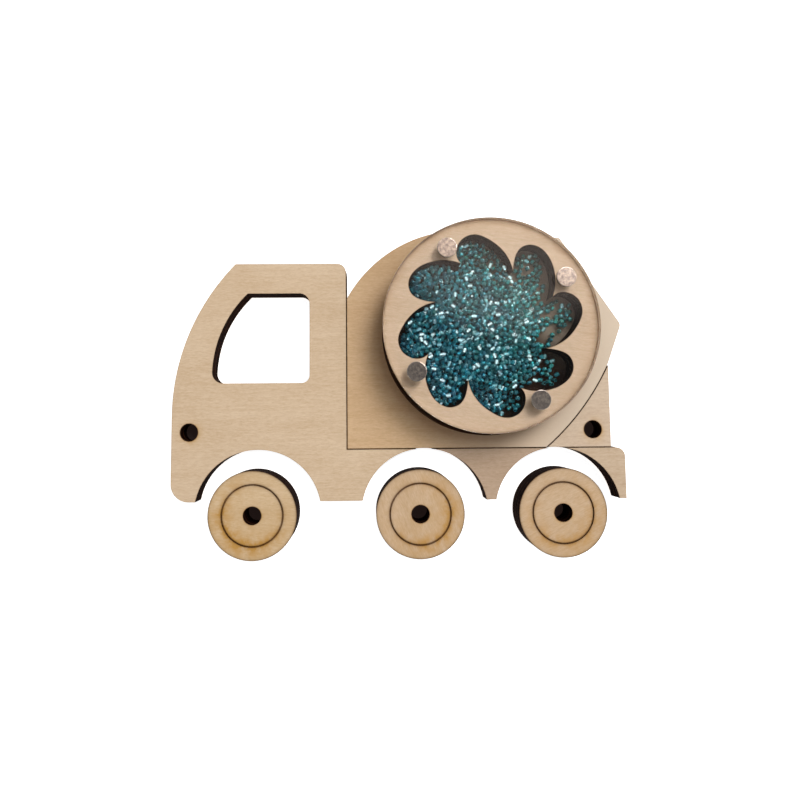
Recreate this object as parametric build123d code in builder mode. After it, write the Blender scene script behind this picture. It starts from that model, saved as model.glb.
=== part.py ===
from build123d import *
import os
from math import cos, radians, sin, sqrt

# Busy-board cement mixer truck, cut by laser from birch ply and lying on its back.
# +Z is out of the truck's face, +X runs from the cab to the tail, and +Y is up on the truck.
# The origin is the middle of the whole outline, on the plane that the truck lies on.
# Everything is in millimetres.

# Sheet stock and the laser
ply = 3.0                    # backing, front pieces and drum floor
ring_ply = 6.0               # bead ring
wheel_ply = 8.0
cover_sheet = 3.0            # clear acrylic
kerf = 0.45                  # burnt line between two front pieces

# Truck outline
length = 203.4
height = 148.0
front_x = -length / 2
rear_x = length / 2
top_y = height / 2
seam_x = -23.35              # back of the cab, where the drum panel starts
seam_y = -26.0               # top of the chassis
sill_y = -48.9               # bottom of the chassis
roof_y = 58.5
nose_radius = 100.0          # the windscreen and bonnet are one arc
nose_y = -10.7               # where that arc runs into the straight bumper
roof_corner = 4.0
sill_corner = 8.0
bumper_corner = 4.0

# Window
window_sill_y = 3.9
window_top_y = 44.8
window_back_x = -40.15
window_radius = 52.6         # its front edge is an arc too
window_arc_x = -31.35
window_arc_y = 7.3
window_corners = (4.7, 3.5, 5.0)     # top back, bottom back, bottom front

# Drum panel, nozzle and tail
shell_radius = 60.9
shell_x = 30.3
nozzle_top = (74.9, 70.4)
nozzle_tip = (101.95, 29.8)
nozzle_top_corner = 1.5
nozzle_tip_corner = 3.0
tail_x = 95.5
tail_radius = 115.4          # curved seam between the drum panel and the tail
tail_arc = (-8.2, 62.1)      # its centre

# Wheels and their arches
wheel_diameter = 39.0
arch_radius = 28.2
arch_x = (-63.1, 11.2, 70.9)
arch_y = seam_y - arch_radius
wheel_x = (-64.9, 8.9, 72.0)
wheel_y = -height / 2 + wheel_diameter / 2
score_radius = 13.4          # ring engraved on each wheel
score_width = 0.6
score_depth = 0.5

# Screw holes
screw_hole = 8.0             # in the truck and in each wheel
hole_spacing = 181.4
hole_middle_x = -3.2
hole_y = -18.0

# Drum
drum_centre = (38.6, 26.9)
drum_diameter = 92.0
floor_shift = (0.1, -1.05)   # the drum's floor is glued a little off the ring's centre
cover_chamfer = 0.3
running_gap = 0.1
spacer_thickness = 1.0
spacer_diameter = 20.0
bead_depth = 4.4
bead_scale = 0.992           # the beads stand just off the walls of their space
bead_nudge = 0.5             # degrees

# Pins through the drum's layers
pin_circle = 37.6
pin_angles = (32.0, 119.4, 211.8, 301.5)
pin_head = 8.4
pin_head_height = 0.5
pin_head_rounding = 0.2
pin_shank = 4.0
pin_clearance = 0.05

# Pivot: countersunk M4 screw, thin nut and washer in a pocket behind the drum panel
thread = 4.0
screw_head = 8.0
screw_length = 10.0
hex_key = 2.5
hex_depth = 1.4
bore_clearance = 0.05
washer_hole = 4.3
washer_diameter = 8.0
washer_thickness = 0.5
nut_across_flats = 7.0
nut_height = 2.2
pocket_diameter = 14.0

# Levels up from the resting plane
face_z = 2 * ply
spacer_top_z = face_z + spacer_thickness
floor_z = spacer_top_z + running_gap
ring_z = floor_z + ply
cover_z = ring_z + ring_ply
pin_head_z = cover_z + cover_sheet
washer_z = ply - washer_thickness
nut_z = washer_z - running_gap - nut_height

os.makedirs("parts", exist_ok=True)


def finish(builder, node):
    """Name a finished piece and write it out."""
    builder.part.label = node
    export_step(builder.part, f"parts/{node}.step")


def corner(x, y):
    """The corner of the open sketch that lies at a point."""
    return vertices().sort_by_distance((x, y, 0))[0]


def tail_seam_x(radius, y):
    """Where an arc about the tail seam's centre crosses a level."""
    return tail_arc[0] + sqrt(radius**2 - (tail_arc[1] - y) ** 2)


def tail_seam_y(radius):
    """Where an arc about the tail seam's centre reaches the tail's straight edge."""
    return tail_arc[1] - sqrt(radius**2 - (tail_x - tail_arc[0]) ** 2)


def cab_profile(gap):
    """Cab and front chassis, up to the top of the middle arch, standing back from its seams."""
    roof_front_x = front_x + nose_radius - sqrt(nose_radius**2 - (roof_y - nose_y) ** 2)
    with BuildSketch(mode=Mode.PRIVATE) as profile:
        with BuildLine():
            Polyline(
                (roof_front_x, roof_y),
                (seam_x - gap, roof_y),
                (seam_x - gap, seam_y - gap),
                (arch_x[1], seam_y - gap),
                (arch_x[1], sill_y),
                (front_x, sill_y),
                (front_x, nose_y),
            )
            RadiusArc((front_x, nose_y), (roof_front_x, roof_y), nose_radius)
        make_face()
        fillet(corner(seam_x - gap, roof_y), radius=roof_corner)
        fillet(corner(front_x, sill_y), radius=sill_corner)
    return profile.sketch


def leg_profile(gap):
    """The chassis between the middle arch and the rear arch."""
    with BuildSketch(mode=Mode.PRIVATE) as profile:
        with BuildLine():
            Polyline(
                (arch_x[1], sill_y),
                (arch_x[1], seam_y - gap),
                (arch_x[2], seam_y - gap),
                (arch_x[2], sill_y),
                close=True,
            )
        make_face()
    return profile.sketch


def bumper_profile(gap):
    """The chassis behind the rear arch."""
    with BuildSketch(mode=Mode.PRIVATE) as profile:
        with BuildLine():
            Polyline(
                (arch_x[2], sill_y),
                (arch_x[2], seam_y - gap),
                (rear_x, seam_y - gap),
                (rear_x, sill_y),
                close=True,
            )
        make_face()
        fillet(corner(rear_x, seam_y - gap), radius=bumper_corner)
    return profile.sketch


def drum_profile(gap):
    """The flat drum behind the turning one: a round shell that runs out to a pointed nozzle."""
    edge_radius = tail_radius - gap
    left_x = seam_x + gap
    base_y = seam_y + gap
    shell_y = top_y - shell_radius
    shell_start_y = shell_y + sqrt(shell_radius**2 - (shell_x - left_x) ** 2)
    shell_end_x = shell_x + sqrt(shell_radius**2 - (nozzle_top[1] - shell_y) ** 2)
    tail_start = (tail_x, tail_seam_y(edge_radius))
    tail_end = (tail_seam_x(edge_radius, base_y), base_y)
    with BuildSketch(mode=Mode.PRIVATE) as profile:
        with BuildLine():
            RadiusArc((left_x, shell_start_y), (shell_end_x, nozzle_top[1]), shell_radius)
            Polyline((shell_end_x, nozzle_top[1]), nozzle_top, nozzle_tip, tail_start)
            RadiusArc(tail_start, tail_end, edge_radius)
            Polyline(tail_end, (left_x, base_y), (left_x, shell_start_y))
        make_face()
        fillet(corner(*nozzle_top), radius=nozzle_top_corner)
        fillet(corner(*nozzle_tip), radius=nozzle_tip_corner)
    return profile.sketch


def tail_profile(gap):
    """The corner under the nozzle, which carries the rear screw hole."""
    edge_radius = tail_radius + gap
    base_y = seam_y + gap
    tail_start = (tail_x, tail_seam_y(edge_radius))
    tail_end = (tail_seam_x(edge_radius, base_y), base_y)
    with BuildSketch(mode=Mode.PRIVATE) as profile:
        with BuildLine():
            RadiusArc(tail_start, tail_end, edge_radius)
            Polyline(tail_end, (tail_x, base_y), tail_start)
        make_face()
    return profile.sketch


def window_profile():
    """Cab window: straight sill, roof and back, and a curved windscreen edge."""
    reach = sqrt(window_radius**2 - (window_top_y - window_arc_y) ** 2)
    top_front_x = window_arc_x - reach
    sill_front_x = window_arc_x - sqrt(window_radius**2 - (window_sill_y - window_arc_y) ** 2)
    with BuildSketch(mode=Mode.PRIVATE) as profile:
        with BuildLine():
            Polyline(
                (top_front_x, window_top_y),
                (window_back_x, window_top_y),
                (window_back_x, window_sill_y),
                (sill_front_x, window_sill_y),
            )
            RadiusArc(
                (sill_front_x, window_sill_y),
                (top_front_x, window_top_y),
                window_radius,
            )
        make_face()
        fillet(corner(window_back_x, window_top_y), radius=window_corners[0])
        fillet(corner(window_back_x, window_sill_y), radius=window_corners[1])
        fillet(corner(sill_front_x, window_sill_y), radius=window_corners[2])
    return profile.sketch


def cut_arches():
    """Take the three wheel arches out of the open sketch."""
    with Locations(*[(x, arch_y) for x in arch_x]):
        Circle(arch_radius, mode=Mode.SUBTRACT)


def cut_screw_holes():
    """Take the two screw holes out of the open sketch."""
    with Locations((hole_middle_x, hole_y)):
        with GridLocations(hole_spacing, 0, 2, 1):
            Circle(screw_hole / 2, mode=Mode.SUBTRACT)


def cut_pivot(diameter):
    """Take a round hole at the drum's centre out of the open sketch."""
    with Locations(drum_centre):
        Circle(diameter / 2, mode=Mode.SUBTRACT)


def front_piece(node, profile):
    """Cut one front piece from the ply that is glued to the backing."""
    with BuildPart() as piece:
        with BuildSketch(Plane.XY.offset(ply)):
            add(profile)
            add(window_profile(), mode=Mode.SUBTRACT)
            cut_arches()
            cut_screw_holes()
            cut_pivot(thread + 2 * bore_clearance)
        extrude(amount=ply)
    finish(piece, node)


# Truck: one backing of the whole outline, and five front pieces glued on it edge to edge.

with BuildPart() as back_panel:
    with BuildSketch():
        add(cab_profile(0))
        add(leg_profile(0))
        add(bumper_profile(0))
        add(drum_profile(0))
        add(tail_profile(0))
        add(window_profile(), mode=Mode.SUBTRACT)
        cut_arches()
        cut_screw_holes()
        cut_pivot(pocket_diameter)
    extrude(amount=ply)
finish(back_panel, "back_panel")

front_piece("cab_panel", cab_profile(kerf / 2))
front_piece("mid_leg_panel", leg_profile(kerf / 2))
front_piece("rear_bumper_panel", bumper_profile(kerf / 2))
front_piece("drum_panel", drum_profile(kerf / 2))
front_piece("tail_panel", tail_profile(kerf / 2))

# Wheels: loose discs that lie in the arches, each with a screw hole and an engraved ring.

for place, x in zip(("front", "middle", "rear"), wheel_x):
    with BuildPart() as wheel:
        with BuildSketch():
            with Locations((x, wheel_y)):
                Circle(wheel_diameter / 2)
                Circle(screw_hole / 2, mode=Mode.SUBTRACT)
        extrude(amount=wheel_ply)
        with BuildSketch(Plane.XY.offset(wheel_ply)):
            with Locations((x, wheel_y)):
                Circle(score_radius + score_width / 2)
                Circle(score_radius - score_width / 2, mode=Mode.SUBTRACT)
        extrude(amount=-score_depth, mode=Mode.SUBTRACT)
    finish(wheel, f"wheel_{place}")

# Drum: floor, bead ring and clear cover, pinned through and turning on the pivot screw.


def drum_plane(z):
    """A level plane on the drum's axis."""
    return Plane((drum_centre[0], drum_centre[1], z))


def flower_profile():
    """Four long and four short petals that lean the same way, meeting in sharp points of wood."""
    pin_notch = Vector(-12.2, 26.8)
    deep_notch = Vector(10.1, 23.4)
    next_notch = pin_notch.rotate(Axis.Z, -90)
    long_petal = [(-14.1, 32.2), (-11.2, 37.6), (-6.2, 39.4), (-0.2, 37.4), (6.0, 32.3)]
    short_petal = [(10.9, 28.6), (13.5, 33.3), (18.3, 34.8), (23.6, 32.2), (27.3, 25.8)]
    last_petal_point = (28.2, 18.6)
    with BuildSketch(mode=Mode.PRIVATE) as profile:
        with BuildLine() as rim:
            Spline(pin_notch, *long_petal, deep_notch)
            Spline(deep_notch, *short_petal, last_petal_point, next_notch)
            quarter = rim.line
            for turn in range(1, 4):
                add(quarter.rotate(Axis.Z, 90 * turn))
        make_face()
    return profile.sketch


pin_places = [(pin_circle * cos(radians(a)), pin_circle * sin(radians(a))) for a in pin_angles]


def drum_layer(shift=(0, 0)):
    """Draw one round layer of the drum, with its pin holes, in the open sketch."""
    with Locations(shift):
        Circle(drum_diameter / 2)
    with Locations(*pin_places):
        Circle(pin_shank / 2, mode=Mode.SUBTRACT)


with BuildPart() as drum_floor:
    with BuildSketch(drum_plane(floor_z)):
        drum_layer(floor_shift)
    extrude(amount=ply)
    with Locations(drum_plane(ring_z)):
        CounterSinkHole(
            radius=thread / 2 + bore_clearance,
            counter_sink_radius=screw_head / 2 + bore_clearance,
            counter_sink_angle=90,
        )
finish(drum_floor, "drum_floor")

with BuildPart() as drum_ring:
    with BuildSketch(drum_plane(ring_z)):
        drum_layer()
        add(flower_profile(), mode=Mode.SUBTRACT)
    extrude(amount=ring_ply)
finish(drum_ring, "drum_ring")

# The beads' outline is the flower, nudged each way about the axis and shrunk a little.
flower = flower_profile()
bead_outline = flower & scale(flower, by=bead_scale)
for nudge in (-bead_nudge, bead_nudge):
    bead_outline = bead_outline & flower.rotate(Axis.Z, nudge)

with BuildPart() as bead_fill:
    with BuildSketch(drum_plane(ring_z)):
        add(bead_outline)
    extrude(amount=bead_depth)
finish(bead_fill, "bead_fill")

with BuildPart() as drum_cover:
    with BuildSketch(drum_plane(cover_z)):
        drum_layer()
    extrude(amount=cover_sheet)
    rims = edges().filter_by(GeomType.CIRCLE).filter_by(lambda edge: edge.radius > drum_diameter / 4)
    chamfer(rims, length=cover_chamfer)
finish(drum_cover, "drum_cover")

for index, place in enumerate(pin_places):
    pin_x, pin_y = drum_centre[0] + place[0], drum_centre[1] + place[1]
    with BuildPart() as cover_pin:
        with BuildSketch(Plane((pin_x, pin_y, floor_z))):
            Circle(pin_shank / 2 - pin_clearance)
        extrude(amount=pin_head_z - floor_z)
        with BuildSketch(Plane((pin_x, pin_y, pin_head_z))):
            Circle(pin_head / 2)
        extrude(amount=pin_head_height)
        head_rim = edges().filter_by(GeomType.CIRCLE).sort_by(Axis.Z)[-1]
        fillet(head_rim, radius=pin_head_rounding)
    finish(cover_pin, f"cover_pin_{index + 1}")

# Pivot: the screw is wedged in the drum floor and turns with it in the drum panel. The spacer
# holds the drum off the truck. The washer and the thin nut lie in the pocket in the backing.

with BuildPart() as pivot_screw:
    with BuildSketch(drum_plane(ring_z - screw_length)):
        Circle(thread / 2)
    extrude(amount=screw_length)
    head_height = (screw_head - thread) / 2
    with BuildSketch(drum_plane(ring_z)):
        Circle(screw_head / 2)
    with BuildSketch(drum_plane(ring_z - head_height)):
        Circle(thread / 2)
    loft()
    with BuildSketch(drum_plane(ring_z)):
        RegularPolygon(hex_key / 2, 6, major_radius=False)
    extrude(amount=-hex_depth, mode=Mode.SUBTRACT)
finish(pivot_screw, "pivot_screw")

with BuildPart() as spacer_washer:
    with BuildSketch(drum_plane(face_z)):
        Circle(spacer_diameter / 2)
        Circle(washer_hole / 2, mode=Mode.SUBTRACT)
    extrude(amount=spacer_thickness)
finish(spacer_washer, "spacer_washer")

with BuildPart() as pivot_washer:
    with BuildSketch(drum_plane(washer_z)):
        Circle(washer_diameter / 2)
        Circle(washer_hole / 2, mode=Mode.SUBTRACT)
    extrude(amount=washer_thickness)
finish(pivot_washer, "pivot_washer")

with BuildPart() as pivot_nut:
    with BuildSketch(drum_plane(nut_z)):
        RegularPolygon(nut_across_flats / 2, 6, major_radius=False)
        Circle(thread / 2 + bore_clearance, mode=Mode.SUBTRACT)
    extrude(amount=nut_height)
finish(pivot_nut, "pivot_nut")
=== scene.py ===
import math

import bmesh
import bpy
import numpy as np
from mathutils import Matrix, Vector
from mathutils.bvhtree import BVHTree


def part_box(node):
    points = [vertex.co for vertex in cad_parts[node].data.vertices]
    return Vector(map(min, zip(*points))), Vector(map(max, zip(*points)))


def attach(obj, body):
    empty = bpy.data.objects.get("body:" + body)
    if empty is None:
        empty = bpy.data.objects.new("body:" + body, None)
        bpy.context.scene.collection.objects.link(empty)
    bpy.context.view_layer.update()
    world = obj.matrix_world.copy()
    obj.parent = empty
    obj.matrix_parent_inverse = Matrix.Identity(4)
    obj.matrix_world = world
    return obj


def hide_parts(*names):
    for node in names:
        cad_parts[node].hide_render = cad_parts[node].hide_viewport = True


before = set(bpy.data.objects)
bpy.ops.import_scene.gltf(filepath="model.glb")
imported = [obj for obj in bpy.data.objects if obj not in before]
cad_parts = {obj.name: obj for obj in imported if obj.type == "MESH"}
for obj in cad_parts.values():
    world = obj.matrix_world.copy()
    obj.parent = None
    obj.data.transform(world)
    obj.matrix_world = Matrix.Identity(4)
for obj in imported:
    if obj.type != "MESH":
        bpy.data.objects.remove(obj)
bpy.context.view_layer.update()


# ---- Backing ---------------------------------------------------------------------------------
# One 3 mm sheet of bare birch ply, laser cut to the truck's whole outline. Everything else on the
# truck is glued to its face, so most of that face is hidden. What shows in the cut lines between
# the front pieces is painted dark brown, as painted shade in those narrow seams.


def add_node(tree, kind, feeds=None, **settings):
    """One shader node, with its settings and with a value or a link for each socket in feeds."""
    made = tree.nodes.new("ShaderNode" + kind)
    for key, value in settings.items():
        setattr(made, key, value)
    for key, value in (feeds or {}).items():
        if isinstance(value, bpy.types.NodeSocket):
            tree.links.new(value, made.inputs[key])
        else:
            made.inputs[key].default_value = value
    return made


def start_group(name, takes, gives):
    """An empty node group with named sockets: the group, what it takes and what it gives."""
    group = bpy.data.node_groups.new(name, "ShaderNodeTree")
    for label, (kind, value) in takes.items():
        socket = group.interface.new_socket(name=label, in_out="INPUT",
                                            socket_type="NodeSocket" + kind)
        socket.default_value = value
    for label, kind in gives.items():
        group.interface.new_socket(name=label, in_out="OUTPUT", socket_type="NodeSocket" + kind)
    taken = group.nodes.new("NodeGroupInput").outputs
    given = group.nodes.new("NodeGroupOutput").inputs
    return group, taken, given


def math_of(tree, operation, *values, clamp=False):
    """One step of arithmetic on numbers."""
    return add_node(tree, "Math", dict(enumerate(values)), operation=operation,
                    use_clamp=clamp).outputs[0]


def vector_of(tree, operation, first, second):
    """One step of arithmetic on vectors, with a vector as its result."""
    return add_node(tree, "VectorMath", {0: first, 1: second}, operation=operation).outputs[0]


def dot_of(tree, first, second):
    """How far one vector goes the way of the other."""
    return add_node(tree, "VectorMath", {0: first, 1: second},
                    operation="DOT_PRODUCT").outputs["Value"]


def own_place(tree):
    """Where a point lies in the shared frame, in metres. It goes with the piece as it turns."""
    return add_node(tree, "TexCoord").outputs["Object"]


def axis_of(tree, vector, axis):
    """A vector's X, Y or Z."""
    return add_node(tree, "SeparateXYZ", {0: vector}).outputs[axis]


def from_axis(tree, here, centre):
    """The way from the upright line through centre to here, and how far that is."""
    offset = vector_of(tree, "MULTIPLY", vector_of(tree, "SUBTRACT", here, centre), (1, 1, 0))
    reach = add_node(tree, "VectorMath", {0: offset}, operation="LENGTH").outputs["Value"]
    return offset, reach


def ramp_of(tree, value, low, high, to_low=0.0, to_high=1.0, smooth=False):
    """A value between low and high, stretched to run from to_low to to_high."""
    kind = "SMOOTHSTEP" if smooth else "LINEAR"
    return add_node(tree, "MapRange", {"Value": value, "From Min": low, "From Max": high,
                                       "To Min": to_low, "To Max": to_high},
                    interpolation_type=kind).outputs[0]


def blend_of(tree, share, first, second):
    """Two colours mixed by a share from 0 to 1. Sockets 6 and 7 are the node's two colours."""
    return add_node(tree, "Mix", {0: share, 6: first, 7: second}, data_type="RGBA").outputs[2]


def noise_of(tree, place, detail=2.0, roughness=0.5, distortion=0.0):
    """Cloudy noise from 0 to 1. How fine it is comes from how far place is stretched."""
    return add_node(tree, "TexNoise", {"Vector": place, "Scale": 1.0, "Detail": detail,
                                       "Roughness": roughness, "Distortion": distortion}).outputs[0]


def srgb(red, green, blue):
    """A screen colour with parts from 0 to 255, turned into linear light."""
    def light(c):
        c /= 255
        return c / 12.92 if c <= 0.04045 else ((c + 0.055) / 1.055) ** 2.4
    return (light(red), light(green), light(blue), 1.0)


def birch_veneer():
    """The face of birch ply: pale wood with short fine flecks and pores along the grain."""
    group, taken, given = start_group(
        "birch_veneer",
        {"Light Wood": ("Color", srgb(222, 197, 168)), "Dark Wood": ("Color", srgb(202, 173, 140)),
         "Sheet Place": ("Vector", (0, 0, 0)), "Grain Turn": ("Float", 0.0),
         "Figure": ("Float", 1.0)},
        {"Color": "Color", "Height": "Float", "Roughness": "Float"})
    here = own_place(group)
    placed = vector_of(group, "ADD", here, taken["Sheet Place"])
    along = add_node(group, "VectorRotate", {"Vector": placed, "Angle": taken["Grain Turn"]},
                     rotation_type="Z_AXIS").outputs[0]
    figure = noise_of(group, vector_of(group, "MULTIPLY", along, (22, 75, 60)), 3.0, 0.55, 0.9)
    streaks = noise_of(group, vector_of(group, "MULTIPLY", along, (45, 900, 300)), 2.0, 0.6)
    flecks = noise_of(group, vector_of(group, "MULTIPLY", along, (420, 1900, 600)), 2.0, 0.7)
    pores = ramp_of(group, noise_of(group, vector_of(group, "MULTIPLY", along, (650, 5200, 900))),
                    0.60, 0.72)
    broad = math_of(group, "MULTIPLY", math_of(group, "SUBTRACT", figure, 0.5),
                    math_of(group, "MULTIPLY", taken["Figure"], 0.9))
    fine = math_of(group, "ADD",
                   math_of(group, "MULTIPLY", math_of(group, "SUBTRACT", streaks, 0.5), 0.75),
                   math_of(group, "MULTIPLY", math_of(group, "SUBTRACT", flecks, 0.5), 1.8))
    tone = math_of(group, "ADD", math_of(group, "ADD", broad, fine), 0.5, clamp=True)
    wood = blend_of(group, tone, taken["Light Wood"], taken["Dark Wood"])
    wood = blend_of(group, math_of(group, "MULTIPLY", pores, 0.16), wood,
                    (0.22, 0.12, 0.06, 1.0))
    height = math_of(group, "SUBTRACT", math_of(group, "MULTIPLY", flecks, 0.5),
                     math_of(group, "MULTIPLY", pores, 0.5))
    group.links.new(wood, given["Color"])
    group.links.new(height, given["Height"])
    group.links.new(ramp_of(group, flecks, 0.3, 0.7, 0.52, 0.66), given["Roughness"])
    return group


def laser_char():
    """What the laser leaves: black-brown cut walls with the plies' lines and fine upright
    strokes, and a thin brown scorch on the face along every cut. Wall is 1 on a cut wall."""
    group, taken, given = start_group(
        "laser_char",
        {"Face": ("Color", srgb(212, 185, 154)), "Scorch": ("Color", srgb(96, 58, 24)),
         "Scorch Width": ("Float", 0.0004), "Ply": ("Float", 0.001),
         "Scorch Share": ("Float", 0.6)},
        {"Color": "Color", "Wall": "Float", "Height": "Float"})
    here = own_place(group)
    facing = axis_of(group, add_node(group, "NewGeometry").outputs["True Normal"], "Z")
    flat = math_of(group, "ABSOLUTE", facing)
    wall = ramp_of(group, flat, 0.35, 0.75, 1.0, 0.0)
    depth = axis_of(group, here, "Z")
    plies = math_of(group, "PINGPONG", math_of(group, "DIVIDE", depth, taken["Ply"]), 1.0)
    strokes = noise_of(group, vector_of(group, "MULTIPLY", here, (2600, 2600, 160)), 2.0, 0.6)
    soot = noise_of(group, vector_of(group, "MULTIPLY", here, (110, 110, 500)), 2.0, 0.6)
    brown = math_of(group, "MULTIPLY", ramp_of(group, plies, 0.25, 0.75),
                    ramp_of(group, math_of(group, "ADD", strokes, soot), 0.8, 1.3))
    burnt = blend_of(group, brown, (0.0035, 0.0010, 0.0007, 1.0), (0.034, 0.012, 0.0055, 1.0))
    closed = add_node(group, "AmbientOcclusion", {"Distance": taken["Scorch Width"]},
                      inside=True, only_local=True, samples=8).outputs["AO"]
    patchy = ramp_of(group, noise_of(group, vector_of(group, "MULTIPLY", here, (300, 300, 300))),
                     0.3, 0.7, 0.45, 1.0)
    edge = math_of(group, "MULTIPLY", ramp_of(group, closed, 0.5, 0.97, 1.0, 0.0),
                   math_of(group, "MULTIPLY", patchy, taken["Scorch Share"]))
    face = blend_of(group, edge, taken["Face"], taken["Scorch"])
    group.links.new(blend_of(group, wall, face, burnt), given["Color"])
    group.links.new(wall, given["Wall"])
    group.links.new(math_of(group, "MULTIPLY", math_of(group, "ADD", strokes, plies), wall),
                    given["Height"])
    return group


def smoke_and_shade_halo():
    """A ring mask round a circle, for laser smoke and heat and for painted shade: 1 on the circle,
    fading either way, in patches, and stronger towards one side."""
    group, taken, given = start_group(
        "smoke_and_shade_halo",
        {"Centre": ("Vector", (0, 0, 0)), "Radius": ("Float", 0.004), "Spread": ("Float", 0.001),
         "Heavy Side": ("Vector", (0, 0, 0)), "Patchy": ("Float", 0.5)},
        {"Mask": "Float"})
    here = own_place(group)
    offset, reach = from_axis(group, here, taken["Centre"])
    away = math_of(group, "ABSOLUTE", math_of(group, "SUBTRACT", reach, taken["Radius"]))
    near = math_of(group, "EXPONENT", math_of(
        group, "MULTIPLY", math_of(group, "DIVIDE", away, taken["Spread"]), -1.0))
    direction = add_node(group, "VectorMath", {0: offset}, operation="NORMALIZE").outputs[0]
    side = dot_of(group, direction, taken["Heavy Side"])
    cloud = noise_of(group, vector_of(group, "MULTIPLY", here, (230, 230, 230)), 3.0, 0.6)
    patch = math_of(group, "ADD", 1.0, math_of(
        group, "MULTIPLY", math_of(group, "SUBTRACT", cloud, 0.62),
        math_of(group, "MULTIPLY", taken["Patchy"], 5.0)), clamp=True)
    mask = math_of(group, "MULTIPLY", near, math_of(
        group, "MULTIPLY", patch, math_of(group, "ADD", 1.0, side)), clamp=True)
    group.links.new(mask, given["Mask"])
    return group


BIRCH, CHAR, HALO = birch_veneer(), laser_char(), smoke_and_shade_halo()


def place_group(tree, group, feeds):
    """A group placed in a material with its own values: what it puts out."""
    return add_node(tree, "Group", feeds, node_tree=group).outputs


def new_material(name):
    """A material, its node tree and its Principled BSDF."""
    material = bpy.data.materials.new(name)
    material.use_nodes = True
    tree = material.node_tree
    return material, tree, tree.nodes["Principled BSDF"]


def halo_round(centre, radius, spread, colour, strength, heavy=(0, 0, 0), patchy=0.0):
    """One halo for ply_material: what smoke_and_shade_halo takes, its colour and its strength."""
    shape = {"Centre": centre, "Radius": radius, "Spread": spread, "Heavy Side": heavy,
             "Patchy": patchy}
    return shape, colour, strength


edge_scorch = srgb(120, 80, 42)


def ply_material(name, light, dark, place, turn=0.0, figure=1.0, ply=0.001, halos=(), tint=None):
    """Laser-cut birch ply. place and turn say which part of the veneer shows, and ply is one
    layer's thickness. tint may change the face's colour before halos and scorch go on."""
    material, tree, finish = new_material(name)
    veneer = place_group(tree, BIRCH, {"Light Wood": light, "Dark Wood": dark,
                                       "Sheet Place": place, "Grain Turn": turn,
                                       "Figure": figure})
    face = veneer["Color"]
    if tint:
        face = tint(tree, face)
    for shape, colour, strength in halos:
        mask = place_group(tree, HALO, shape)["Mask"]
        face = blend_of(tree, math_of(tree, "MULTIPLY", mask, strength), face, colour)
    cut = place_group(tree, CHAR, {"Face": face, "Scorch": edge_scorch, "Ply": ply})
    tree.links.new(cut["Color"], finish.inputs["Base Color"])
    rough = math_of(tree, "ADD", veneer["Roughness"], math_of(tree, "MULTIPLY", cut["Wall"], 0.25))
    tree.links.new(rough, finish.inputs["Roughness"])
    finish.inputs["Specular IOR Level"].default_value = 0.02
    height = math_of(tree, "ADD", veneer["Height"], math_of(tree, "MULTIPLY", cut["Height"], 1.5))
    bump = add_node(tree, "Bump", {"Height": height, "Distance": 0.00006, "Strength": 0.6})
    tree.links.new(bump.outputs["Normal"], finish.inputs["Normal"])
    return material


def dress(name, material):
    """A CAD piece gets its finish; its shape stays as it is."""
    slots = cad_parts[name].data.materials
    slots.clear()
    slots.append(material)


screw_hole_radius = 0.004


def hole_halo(x, y):
    """The yellow and brown smoke round one 8 mm hole."""
    yellow = halo_round((x, y, 0), screw_hole_radius, spread=0.0012, colour=srgb(196, 158, 104),
                        strength=0.75, heavy=(0.3, -0.3, 0), patchy=0.6)
    brown = halo_round((x, y, 0), screw_hole_radius, spread=0.00018, colour=srgb(88, 50, 20),
                       strength=0.95, patchy=0.3)
    return [yellow, brown]


soot_and_shade_none, soot_and_shade_full = 0.0004, 0.0001


def top_face(tree, here, top):
    """1 on the flat face at the height of top, and 0 on all that lies lower."""
    return ramp_of(tree, axis_of(tree, here, "Z"), top - soot_and_shade_none, top - soot_and_shade_full)


backing_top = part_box("back_panel")[1].z
# The dark brown of the painted shade in the seams.
seam_shade_brown = srgb(60, 34, 18)


def painted_seam_shade(tree, face):
    """The backing's hidden face, painted dark brown as painted shade where the cut lines open onto
    it.
    """
    return blend_of(tree, top_face(tree, own_place(tree), backing_top), face, seam_shade_brown)


screw_hole_x, screw_hole_y = (-0.0939, 0.0875), -0.018
both_holes = [halo for x in screw_hole_x for halo in hole_halo(x, screw_hole_y)]
dress("back_panel", ply_material("backing_ply", srgb(216, 190, 160), srgb(203, 175, 143),
                                 (0.31, 0.12, 0.05), halos=both_holes, tint=painted_seam_shade))


# ---- Front pieces: cab, chassis and tail -----------------------------------------------------
# Four pieces of 3 mm ply, glued on the backing with a dark cut line between them. The cab
# carries the front of the chassis, and the tail piece carries the rear screw hole.

dress("cab_panel", ply_material("cab_ply", srgb(223, 199, 170), srgb(204, 176, 143),
                                (0.0, 0.0, 0.0),
                                halos=hole_halo(screw_hole_x[0], screw_hole_y)))
dress("mid_leg_panel", ply_material("leg_ply", srgb(200, 174, 150), srgb(178, 152, 127),
                                    (0.07, 0.21, 0.02)))
dress("rear_bumper_panel", ply_material("bumper_ply", srgb(214, 192, 166), srgb(194, 168, 140),
                                        (0.13, 0.33, 0.03)))
dress("tail_panel", ply_material("tail_ply", srgb(223, 202, 178), srgb(205, 180, 155),
                                 (0.19, 0.47, 0.04),
                                 halos=hole_halo(screw_hole_x[1], screw_hole_y)))


# ---- Drum panel ------------------------------------------------------------------------------
# The mixer's flat drum and nozzle, of another 3 mm sheet, glued on the backing like the others.
# It is tanner than the cab at the cab's side. Painted light makes it paler towards the nozzle,
# and a soft brown painted shadow, heavier below, runs round the turning disc above.

drum_lo, drum_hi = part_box("drum_panel")
cover_lo, cover_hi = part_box("drum_cover")
disc_centre = (cover_lo + cover_hi) / 2
disc_radius = (cover_hi.x - cover_lo.x) / 2
disc_axis = (disc_centre.x, disc_centre.y, 0)
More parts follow.
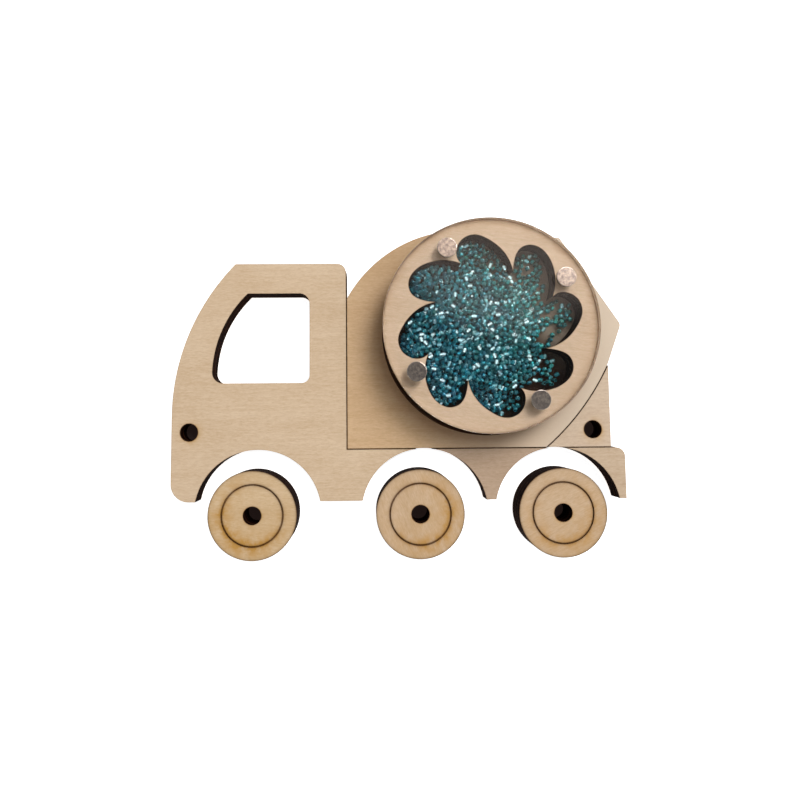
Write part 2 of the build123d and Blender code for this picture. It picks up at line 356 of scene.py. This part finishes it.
# Painted shadow: a soft brown ring round the disc's foot on the panel, heavier below.
painted_disc_shadow = halo_round(disc_axis, disc_radius, spread=0.0045, colour=srgb(120, 76, 46),
                        strength=0.45, heavy=(-0.34, -0.92, 0))


def painted_light_to_the_tail(tree, face):
    """The panel's face with painted light: paler from its left side to its nozzle."""
    along = axis_of(tree, own_place(tree), "X")
    share = ramp_of(tree, along, drum_lo.x + 0.02, drum_hi.x - 0.015, smooth=True)
    return blend_of(tree, math_of(tree, "MULTIPLY", share, 0.85), face, srgb(228, 211, 190))


dress("drum_panel", ply_material("drum_panel_ply", srgb(217, 185, 147), srgb(199, 164, 125),
                                 (0.26, 0.61, 0.06), figure=1.2, halos=[painted_disc_shadow],
                                 tint=painted_light_to_the_tail))


# ---- Turning drum: floor and ring ------------------------------------------------------------
# A 3 mm ply disc with a 6 mm ply ring glued on it. The ring's flower-shaped space holds the
# beads. The floor under them is smoked dark by the laser, as are the walls, and is lighter
# towards the upper right, under the bare petals.

ring_lo, ring_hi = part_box("drum_ring")
ring_axis = ((ring_lo.x + ring_hi.x) / 2, (ring_lo.y + ring_hi.y) / 2, 0)
bead_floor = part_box("drum_floor")[1].z


def smoked_floor(tree, face):
    """The floor's face: cloudy soot, lighter towards the upper right."""
    here = own_place(tree)
    cloud = noise_of(tree, vector_of(tree, "MULTIPLY", here, (180, 260, 200)), 3.0, 0.6)
    soot = blend_of(tree, cloud, (0.012, 0.005, 0.003, 1.0), (0.055, 0.027, 0.017, 1.0))
    upper_right = dot_of(tree, vector_of(tree, "SUBTRACT", here, disc_axis), (0.75, 0.65, 0))
    lighter_up_right = ramp_of(tree, upper_right, 0.010, 0.022, smooth=True)
    soot = blend_of(tree, lighter_up_right, soot, srgb(136, 122, 108))
    return blend_of(tree, top_face(tree, here, bead_floor), face, soot)


dress("drum_floor", ply_material("drum_floor_ply", srgb(214, 188, 158), srgb(200, 170, 138),
                                 (0.37, 0.08, 0.07), tint=smoked_floor))
# A tan band round the ring's rim, heavier at the upper right: partly laser scorch, partly painted
# shade under the cover's edge.
ring_scorch_and_shade = halo_round(ring_axis, disc_radius, spread=0.0024, colour=srgb(170, 130, 88),
                      strength=0.5, heavy=(0.2, 0.65, 0), patchy=0.3)
ring_edge = halo_round(ring_axis, disc_radius, spread=0.0005, colour=srgb(70, 38, 16),
                       strength=0.9, patchy=0.2)
dress("drum_ring", ply_material("drum_ring_ply", srgb(213, 189, 166), srgb(194, 168, 141),
                                (0.43, 0.17, 0.08), turn=0.15, ply=0.0012,
                                halos=[ring_scorch_and_shade, ring_edge]))


# ---- Beads -----------------------------------------------------------------------------------
# Loose 2 mm seed beads of teal glass with silver-lined holes, in the flower-shaped space. They
# have slid towards the left, so the right-hand petals are nearly bare. Some have a narrow white
# lining that glows a little and paler glass: a painted glint that stands in for the sparkle of
# real silver. On the rest the lining is painted dark teal, as shaded silver.

bead_radius, bead_half = 0.00096, 0.00094
plain_bore, glint_bore = 0.00046, 0.00028
bead_sides = 9
# A draw below the first share gives a full glow, and one below the second a faint glow.
glow_share, faint_share = 0.10, 0.22
full_glow, faint_glow = 1.0, 0.4
bead_rng = np.random.default_rng(20)

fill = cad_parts["bead_fill"].data
fill_points = [v.co.copy() for v in fill.vertices]
fill_walls = [tuple(p.vertices) for p in fill.polygons if abs(p.normal.z) < 0.5]
fill_tops = [tuple(p.vertices) for p in fill.polygons if p.normal.z > 0.5]
flower_wall = BVHTree.FromPolygons(fill_points, fill_walls)
flower_top = BVHTree.FromPolygons(fill_points, fill_tops)
fill_lo, fill_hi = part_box("bead_fill")
# A loose bead keeps others off by a little more than its own size. Its middle rests this high
# above the floor, and stays this far below the cover.
bead_reach = 0.00112
bead_touch = 2 * bead_reach * 0.9
bead_rest = bead_floor + bead_reach * 0.86
bead_top_limit = cover_lo.z - 0.0009
one_layer = 0.0012
# Even the barest tip keeps this share of its beads. The fill gets thinner from this far out, most
# of all in the first direction and a little in the second.
thinnest = 0.12
bare_from = 0.013
bare_way, thin_way = math.radians(-8), math.radians(85)
# Beads that are dropped, how often each may roll, and how much of its reach it rolls at a time.
tries, rolls, roll_share = 5200, 14, 0.35


def in_flower(x, y):
    """True if a bead at x, y is clear of the flower's wall."""
    above = Vector((x, y, fill_hi.z + 0.001))
    if flower_top.ray_cast(above, Vector((0, 0, -1)))[0] is None:
        return False
    spot = Vector((x, y, (fill_lo.z + fill_hi.z) / 2))
    return flower_wall.find_nearest(spot)[3] > bead_reach


def fullness(x, y):
    """How full the space is at x, y, from 0 to 1: full in the middle and on the left, thinner
    at the top, and nearly bare at the right-hand tips."""
    dx, dy = x - disc_centre.x, y - disc_centre.y
    outward = min(max((math.hypot(dx, dy) - bare_from) / bare_from, 0.0), 1.0)
    lean = 0.5 + 0.5 * math.cos(math.atan2(dy, dx) - bare_way)
    top = max(0.0, math.cos(math.atan2(dy, dx) - thin_way)) ** 2
    return 1.0 - outward * min(0.9 * lean ** 1.2 + 0.35 * top, 0.93)


def settle(centres, count, x, y):
    """Drops a bead at x, y and lets it roll off the ones below. It rests on the floor, against
    the wall, or on top when its rolls are used up."""
    spot = np.array((x, y))
    for _ in range(rolls):
        apart = np.hypot(centres[:count, 0] - spot[0], centres[:count, 1] - spot[1])
        near = np.nonzero(apart < bead_touch)[0]
        if len(near) == 0:
            return spot, bead_rest
        tops = centres[near, 2] + np.sqrt(bead_touch ** 2 - apart[near] ** 2)
        high = near[int(np.argmax(tops))]
        level = float(tops.max())
        push = spot - centres[high, :2]
        size = float(np.hypot(*push))
        push = push / size if size > 1e-6 else np.array((1.0, 0.0))
        moved = spot + push * bead_reach * roll_share
        if not in_flower(*moved):
            return spot, level
        spot = moved
    return spot, level


centres = np.zeros((tries, 3))
count = 0
for _ in range(tries):
    x, y = bead_rng.uniform((fill_lo.x, fill_lo.y), (fill_hi.x, fill_hi.y))
    chance = bead_rng.random()
    if not in_flower(x, y):
        continue
    full = fullness(x, y)
    if chance > thinnest + (1 - thinnest) * full:
        continue
    spot, level = settle(centres, count, x, y)
    cap = bead_floor + one_layer + (bead_top_limit - bead_floor - one_layer) * full ** 0.7
    if level > min(cap, bead_top_limit):
        continue
    centres[count] = (*spot, level)
    count += 1
centres = centres[:count]


def bead_ring_profile(bore):
    """Radius and height along one bead's skin, from the hole's lower lip round to the upper one.
    The band that closes it, back down the hole, is the silver-lined one."""
    r, h = bead_radius, bead_half
    return [(bore, -h * 0.86), (r * 0.66, -h), (r * 0.95, -h * 0.66), (r, 0.0),
            (r * 0.95, h * 0.66), (r * 0.66, h), (bore, h * 0.86)]


standing_share, standing_lean, lying_lean = 0.16, 0.35, 0.30


def lay_axis(rng):
    """A bead's own axis: most lie on their sides, some lean, and a few stand up."""
    if rng.random() < standing_share:
        tilt = rng.normal(0.0, standing_lean)
    else:
        tilt = math.pi / 2 + rng.normal(0.0, lying_lean)
    turn = rng.uniform(0, 2 * math.pi)
    return Vector((math.sin(tilt) * math.cos(turn), math.sin(tilt) * math.sin(turn),
                   math.cos(tilt)))


colour_run = 0.06
blue, green = np.array((0.03, 0.53, 0.70)), np.array((0.08, 0.64, 0.60))


def bead_colour(x, y, rng):
    """Bluer at the lower left, greener at the upper right, and each bead a little its own."""
    rightward = (x - disc_centre.x) * 0.8 + (y - disc_centre.y) * 0.6
    across = min(max(rightward / colour_run + 0.5, 0), 1)
    colour = (blue * (1 - across) + green * across) * rng.uniform(0.55, 1.15)
    colour = colour + rng.normal(0, 0.03, 3)
    return np.clip(colour, 0.03, 0.95)


bead_glass, tree, finish = new_material("teal_bead_glass")
own_colour = add_node(tree, "Attribute", attribute_name="bead_colour").outputs["Color"]
here = own_place(tree)
swirl = noise_of(tree, vector_of(tree, "MULTIPLY", here, (1500, 1500, 1500)), 2.0)
tree.links.new(blend_of(tree, ramp_of(tree, swirl, 0.3, 0.7, 0.0, 0.14), own_colour,
                        (0.5, 0.85, 0.9, 1.0)), finish.inputs["Base Color"])
tree.links.new(ramp_of(tree, swirl, 0.3, 0.7, 0.03, 0.10), finish.inputs["Roughness"])
finish.inputs["IOR"].default_value = 1.5
finish.inputs["Transmission Weight"].default_value = 0.82

bead_silver, tree, finish = new_material("bead_silver_lining")
here = own_place(tree)
tarnish = noise_of(tree, vector_of(tree, "MULTIPLY", here, (900, 900, 900)), 2.0)
# Painted glint and shade on the lining: white and glowing where a bead glints, dark teal elsewhere.
glint = add_node(tree, "Attribute", attribute_name="bead_painted_glint").outputs["Fac"]
lining = blend_of(tree, glint, (0.12, 0.36, 0.42, 1.0), (1.0, 1.0, 1.0, 1.0))
tree.links.new(blend_of(tree, tarnish, lining, (0.26, 0.56, 0.62, 1.0)),
               finish.inputs["Base Color"])
tree.links.new(ramp_of(tree, tarnish, 0.3, 0.7, 0.14, 0.24), finish.inputs["Roughness"])
finish.inputs["Metallic"].default_value = 1.0
tree.links.new(math_of(tree, "MULTIPLY", glint, 0.9), finish.inputs["Emission Strength"])
tree.links.new(blend_of(tree, tarnish, (0.9, 1.0, 1.0, 1.0), (0.6, 0.8, 0.85, 1.0)),
               finish.inputs["Emission Color"])


def make_beads(name, places):
    """Many beads as one mesh, each a closed rounded tube with its own colour and lie. Fewer
    glow towards the rim."""
    verts, faces, slots, colours, glints = [], [], [], [], []
    for x, y, z in places:
        axis = lay_axis(bead_rng)
        spin = bead_rng.uniform(0, 2 * math.pi)
        size = bead_rng.uniform(0.93, 1.05)
        across = axis.orthogonal().normalized()
        beside = axis.cross(across)
        colour = bead_colour(x, y, bead_rng)
        outward = math.hypot(x - disc_centre.x, y - disc_centre.y) / disc_radius
        draw = bead_rng.random() / (1.15 - 0.85 * outward)
        glint = full_glow if draw < glow_share else faint_glow if draw < faint_share else 0.0
        profile = bead_ring_profile(glint_bore if glint else plain_bore)
        # The glass of a bead that glows is paler too, as part of its painted glint.
        colour = colour + (0.97 - colour) * 0.6 * glint
        start = len(verts)
        for k in range(bead_sides):
            angle = spin + 2 * math.pi * k / bead_sides
            out = across * math.cos(angle) + beside * math.sin(angle)
            for radius, height in profile:
                verts.append(Vector((x, y, z)) + (out * radius + axis * height) * size)
                colours.append((*colour, 1.0))
                glints.append(glint)
        rows = len(profile)
        for k in range(bead_sides):
            this, after = start + k * rows, start + (k + 1) % bead_sides * rows
            for j in range(rows):
                up = (j + 1) % rows
                faces.append((this + j, after + j, after + up, this + up))
                slots.append(1 if j == rows - 1 else 0)
    mesh = bpy.data.meshes.new(name)
    mesh.from_pydata(verts, [], faces)
    mesh.materials.append(bead_glass)
    mesh.materials.append(bead_silver)
    mesh.polygons.foreach_set("material_index", slots)
    mesh.polygons.foreach_set("use_smooth", [True] * len(faces))
    layer = mesh.attributes.new("bead_colour", "FLOAT_COLOR", "POINT")
    layer.data.foreach_set("color", np.array(colours, np.float32).ravel())
    mesh.attributes.new("bead_painted_glint", "FLOAT", "POINT").data.foreach_set("value", glints)
    mesh.validate()
    # The hole's two lips are sharp, and all else is smooth.
    ends = np.zeros(len(mesh.edges) * 2, np.int32)
    mesh.edges.foreach_get("vertices", ends)
    row = ends.reshape(-1, 2) % rows
    lip = (row == 0).all(1) | (row == rows - 1).all(1)
    mesh.attributes.new("sharp_edge", "BOOLEAN", "EDGE").data.foreach_set("value", lip)
    beads = bpy.data.objects.new(name, mesh)
    bpy.context.scene.collection.objects.link(beads)
    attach(beads, "drum")
    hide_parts("bead_fill")


half = count // 2
make_beads("beads_lower", centres[:half])
make_beads("beads_upper", centres[half:])


# ---- Cover -----------------------------------------------------------------------------------
# A 3 mm disc of clear cast acrylic, as wide as the ring, with glossy laser-cut edges. It keeps
# the beads in and is held by the four pins. Both faces lie 0.03 mm inside the CAD cover's, so
# that none shares its height with the ring's face or the pins' heads.

clear_acrylic, tree, finish = new_material("clear_acrylic_sheet")
finish.inputs["Base Color"].default_value = (0.99, 0.99, 0.98, 1.0)
finish.inputs["IOR"].default_value = 1.49
finish.inputs["Transmission Weight"].default_value = 1.0
here = own_place(tree)
handling = noise_of(tree, vector_of(tree, "MULTIPLY", here, (60, 60, 60)), 4.0, 0.65)
tree.links.new(ramp_of(tree, handling, 0.4, 0.75, 0.01, 0.07), finish.inputs["Roughness"])
lets_lamps_through = add_node(tree, "BsdfTransparent", {"Color": (0.88, 0.88, 0.87, 1.0)})
shadow_ray = add_node(tree, "LightPath").outputs["Is Shadow Ray"]
either = add_node(tree, "MixShader", {0: shadow_ray, 1: finish.outputs[0],
                                      2: lets_lamps_through.outputs[0]})
tree.links.new(either.outputs[0], tree.nodes["Material Output"].inputs["Surface"])

air_film = 0.00003
edge_rounding = 0.00012
pin_bore_radius = 0.00205
pin_bores = []
for number in range(1, 5):
    lo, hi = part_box(f"cover_pin_{number}")
    pin_bores.append(((lo.x + hi.x) / 2, (lo.y + hi.y) / 2, pin_bore_radius))


fewest_steps, steps_per_metre = 40, 4200


def sheet_disc(name, circles, low, high, rounding, material):
    """A flat sheet cut to circles, the first one its rim and the others holes, with the
    sharp edges just taken off."""
    outline = bpy.data.curves.new(name, "CURVE")
    outline.dimensions = "2D"
    outline.fill_mode = "BOTH"
    outline.extrude = (high - low) / 2 - rounding
    outline.bevel_depth = rounding
    outline.bevel_resolution = 2
    outline.offset = -rounding
    for x, y, radius in circles:
        steps = max(fewest_steps, int(radius * steps_per_metre))
        spline = outline.splines.new("POLY")
        spline.points.add(steps - 1)
        spline.use_cyclic_u = True
        for k, point in enumerate(spline.points):
            angle = 2 * math.pi * k / steps
            point.co = (x + radius * math.cos(angle), y + radius * math.sin(angle), 0, 1)
    drawn = bpy.data.objects.new(name, outline)
    bpy.context.scene.collection.objects.link(drawn)
    bpy.context.view_layer.update()
    mesh = bpy.data.meshes.new_from_object(drawn.evaluated_get(
        bpy.context.evaluated_depsgraph_get()))
    bpy.data.objects.remove(drawn)
    work = bmesh.new()
    work.from_mesh(mesh)
    bmesh.ops.remove_doubles(work, verts=work.verts, dist=1e-6)
    bmesh.ops.recalc_face_normals(work, faces=work.faces)
    bmesh.ops.translate(work, verts=work.verts, vec=(0, 0, (low + high) / 2))
    for face in work.faces:
        face.smooth = abs(face.normal.z) < 0.999
    work.to_mesh(mesh)
    work.free()
    mesh.materials.clear()
    mesh.materials.append(material)
    piece = bpy.data.objects.new(name, mesh)
    bpy.context.scene.collection.objects.link(piece)
    return piece


cover = sheet_disc("cover_sheet", [(disc_centre.x, disc_centre.y, disc_radius), *pin_bores],
                   cover_lo.z + air_film, cover_hi.z - air_film, edge_rounding, clear_acrylic)
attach(cover, "drum")
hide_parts("drum_cover")


# ---- Cover pins ------------------------------------------------------------------------------
# Four flat-headed metal pins through cover, ring and floor. Their heads were faced on a lathe, so
# they have faint rings, and they are stained in patches.


def turned_face():
    """Faint rings from a lathe tool round a centre, and cloudy stains."""
    group, taken, given = start_group(
        "turned_face",
        {"Centre": ("Vector", (0, 0, 0)), "Pitch": ("Float", 0.00022)},
        {"Rings": "Float", "Stain": "Float"})
    here = own_place(group)
    reach = from_axis(group, here, taken["Centre"])[1]
    cloud = noise_of(group, vector_of(group, "MULTIPLY", here, (700, 700, 700)), 3.0, 0.6)
    phase = math_of(group, "ADD", math_of(group, "DIVIDE", reach, taken["Pitch"]),
                    math_of(group, "MULTIPLY", cloud, 2.0))
    rings = ramp_of(group, math_of(group, "SINE", phase), -1.0, 1.0)
    group.links.new(rings, given["Rings"])
    group.links.new(cloud, given["Stain"])
    return group


TURNED = turned_face()
for number in range(1, 5):
    pin_lo, pin_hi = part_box(f"cover_pin_{number}")
    pin_metal, tree, finish = new_material(f"pin_metal_{number}")
    centre = ((pin_lo.x + pin_hi.x) / 2, (pin_lo.y + pin_hi.y) / 2, 0)
    turned = place_group(tree, TURNED, {"Centre": centre})
    stain = ramp_of(tree, turned["Stain"], 0.35, 0.65)
    metal = blend_of(tree, stain, (0.90, 0.77, 0.66, 1.0), (0.50, 0.42, 0.38, 1.0))
    metal = blend_of(tree, math_of(tree, "MULTIPLY", turned["Rings"], 0.10), metal,
                     (0.36, 0.31, 0.30, 1.0))
    # The heads' sides are painted dark brown, as painted shade.
    facing = axis_of(tree, add_node(tree, "NewGeometry").outputs["Normal"], "Z")
    side = ramp_of(tree, facing, 0.3, 0.9, 1.0, 0.0)
    metal = blend_of(tree, side, metal, (0.26, 0.21, 0.17, 1.0))
    tree.links.new(metal, finish.inputs["Base Color"])
    tree.links.new(ramp_of(tree, turned["Rings"], 0.0, 1.0, 0.12, 0.18),
                   finish.inputs["Roughness"])
    finish.inputs["Metallic"].default_value = 0.87
    bump = add_node(tree, "Bump", {"Height": turned["Rings"], "Distance": 0.00001,
                                   "Strength": 0.2})
    tree.links.new(bump.outputs["Normal"], finish.inputs["Normal"])
    dress(f"cover_pin_{number}", pin_metal)


# ---- Pivot -----------------------------------------------------------------------------------
# A zinc-plated M4 countersunk screw through the drum's floor turns in the truck. A thin nut and a
# washer sit in a pocket in the back, and a nylon washer keeps the drum off the face.

zinc, tree, finish = new_material("zinc_plate")
here = own_place(tree)
crystals = add_node(tree, "TexVoronoi", {"Vector": here, "Scale": 1400.0}).outputs["Color"]
shade = axis_of(tree, crystals, "X")
tree.links.new(blend_of(tree, shade, (0.74, 0.75, 0.77, 1.0), (0.60, 0.62, 0.66, 1.0)),
               finish.inputs["Base Color"])
tree.links.new(ramp_of(tree, shade, 0.0, 1.0, 0.24, 0.42), finish.inputs["Roughness"])
finish.inputs["Metallic"].default_value = 1.0
for name in ("pivot_screw", "pivot_nut", "pivot_washer"):
    dress(name, zinc)

nylon, tree, finish = new_material("natural_nylon")
here = own_place(tree)
flow = noise_of(tree, vector_of(tree, "MULTIPLY", here, (400, 400, 900)), 3.0)
tree.links.new(blend_of(tree, flow, (0.80, 0.78, 0.72, 1.0), (0.70, 0.67, 0.60, 1.0)),
               finish.inputs["Base Color"])
tree.links.new(ramp_of(tree, flow, 0.3, 0.7, 0.35, 0.5), finish.inputs["Roughness"])
finish.inputs["Subsurface Weight"].default_value = 0.1
finish.inputs["Subsurface Scale"].default_value = 0.001
dress("spacer_washer", nylon)


# ---- Wheels ----------------------------------------------------------------------------------
# Three discs of golden 8 mm ply, each with a screw hole and an engraved ring. The laser browned
# the rim, the ring and the hole, and left yellow smoke that is heavier on one side. Each wheel
# has its own wood and its own smoke.

ring_radius = 0.0134
wheel_looks = {
    "wheel_front": dict(turn=0.05, place=(0.52, 0.3, 0.1), smoke_side=(-0.55, -0.75, 0),
                        smoke=0.85, light=srgb(219, 192, 156), dark=srgb(201, 170, 129)),
    "wheel_middle": dict(turn=1.2, place=(0.61, 0.5, 0.2), smoke_side=(0.65, -0.45, 0),
                         smoke=0.75, light=srgb(214, 186, 155), dark=srgb(196, 165, 129)),
    "wheel_rear": dict(turn=-0.4, place=(0.72, 0.7, 0.3), smoke_side=(0.2, -0.55, 0),
                       smoke=0.65, light=srgb(214, 187, 157), dark=srgb(196, 166, 132)),
}
for name, look in wheel_looks.items():
    wheel_lo, wheel_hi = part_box(name)
    centre = ((wheel_lo.x + wheel_hi.x) / 2, (wheel_lo.y + wheel_hi.y) / 2, 0)
    rim = (wheel_hi.x - wheel_lo.x) / 2
    smoke = halo_round(centre, ring_radius, spread=0.0034, colour=srgb(190, 140, 62),
                       strength=look["smoke"], heavy=look["smoke_side"], patchy=0.6)
    line = halo_round(centre, ring_radius, spread=0.00045, colour=srgb(78, 38, 12),
                      strength=1.0, patchy=0.1)
    edge = halo_round(centre, rim, spread=0.00036, colour=srgb(50, 28, 12), strength=1.0,
                      patchy=0.1)
    edge_smoke = halo_round(centre, rim, spread=0.0010, colour=srgb(190, 154, 100),
                            strength=0.4, heavy=look["smoke_side"], patchy=0.6)
    dress(name, ply_material(name + "_ply", look["light"], look["dark"], look["place"],
                             turn=look["turn"], ply=0.00115, figure=1.2,
                             halos=[smoke, edge_smoke, *hole_halo(centre[0], centre[1]),
                                    line, edge]))


# ---- Table, light and camera -----------------------------------------------------------------
# The truck lies on its back on a white table, with painted shade on it under the five holes. A
# soft window stands at the upper right, with white walls that are dimmer on the far side, a dark
# ceiling and a dim warm patch in it. The camera looks down from close by, almost straight.

table = bpy.data.meshes.new("table")
table_half, table_height = 1.6, -0.0002
table_corners = [(-table_half, -table_half, table_height), (table_half, -table_half, table_height),
                 (table_half, table_half, table_height), (-table_half, table_half, table_height)]
table.from_pydata(table_corners, [], [(0, 1, 2, 3)])
table_top = bpy.data.objects.new("table_top", table)
bpy.context.scene.collection.objects.link(table_top)
white, tree, finish = new_material("white_table")
here = own_place(tree)
paper = noise_of(tree, vector_of(tree, "MULTIPLY", here, (90, 90, 90)), 2.0)
table_white = blend_of(tree, paper, (0.93, 0.93, 0.93, 1.0), (0.90, 0.90, 0.90, 1.0))
bores = [(x, screw_hole_y) for x in screw_hole_x]
for name in wheel_looks:
    lo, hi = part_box(name)
    bores.append(((lo.x + hi.x) / 2, (lo.y + hi.y) / 2))
# Painted shade: the table is dark in round spots under the five holes.
hole_shade_full, hole_shade_end = 0.0055, 0.0065
painted_hole_shade = 0.0
for x, y in bores:
    reach = from_axis(tree, here, (x, y, 0))[1]
    spot = ramp_of(tree, reach, hole_shade_full, hole_shade_end, 1.0, 0.0)
    painted_hole_shade = math_of(tree, "MAXIMUM", painted_hole_shade, spot)
table_white = blend_of(tree, painted_hole_shade, table_white, (0.012, 0.007, 0.006, 1.0))
tree.links.new(table_white, finish.inputs["Base Color"])
tree.links.new(table_white, finish.inputs["Emission Color"])
finish.inputs["Emission Strength"].default_value = 0.95
finish.inputs["Roughness"].default_value = 0.9
table.materials.append(white)

world = bpy.data.worlds.new("room")
bpy.context.scene.world = world
world.use_nodes = True
tree = world.node_tree
room = tree.nodes["Background"]
look_to = add_node(tree, "TexCoord").outputs["Generated"]
black = (0.0, 0.0, 0.0, 1.0)
walls = ramp_of(tree, dot_of(tree, look_to, (0.64, 0.77, 0.0)), -1.0, 1.0, 0.46, 1.60)
ceiling = ramp_of(tree, axis_of(tree, look_to, "Z"), 0.64, 0.86, 1.0, 0.05, smooth=True)
plain_room = blend_of(tree, math_of(tree, "MULTIPLY", walls, ceiling), black,
                      (1.0, 1.0, 1.0, 1.0))
patch = ramp_of(tree, dot_of(tree, look_to, (0.331, 0.462, 0.823)), 0.952, 0.982, smooth=True)
warm_patch = blend_of(tree, patch, black, (0.70, 0.58, 0.51, 1.0))
tree.links.new(vector_of(tree, "ADD", plain_room, warm_patch), room.inputs["Color"])

compass, tilt = math.radians(52), math.radians(54)
window_distance, window_size, radiance = 2.0, 1.1, 10.2
window_way = Vector((math.sin(tilt) * math.cos(compass), math.sin(tilt) * math.sin(compass),
                     math.cos(tilt)))
lamp = bpy.data.lights.new("window_light", "AREA")
lamp.shape = "DISK"
lamp.size = window_size
lamp.energy = radiance * math.pi * math.pi * window_size * window_size / 4
window = bpy.data.objects.new("window_light", lamp)
window.location = window_way * window_distance
window.rotation_euler = window_way.to_track_quat("Z", "Y").to_euler()
bpy.context.scene.collection.objects.link(window)

eye = bpy.data.cameras.new("camera")
eye.sensor_width = 36.0
eye.lens = 16.5
eye.shift_x = 0.0324
eye.shift_y = 0.0006
eye.clip_start = 0.005
camera = bpy.data.objects.new("camera", eye)
camera.location = (-0.0127, -0.0117, 0.171)
camera.rotation_euler = (math.radians(2.58), math.radians(-0.53), math.radians(-0.45))
bpy.context.scene.collection.objects.link(camera)
bpy.context.scene.camera = camera
bpy.context.scene.view_settings.view_transform = "Standard"
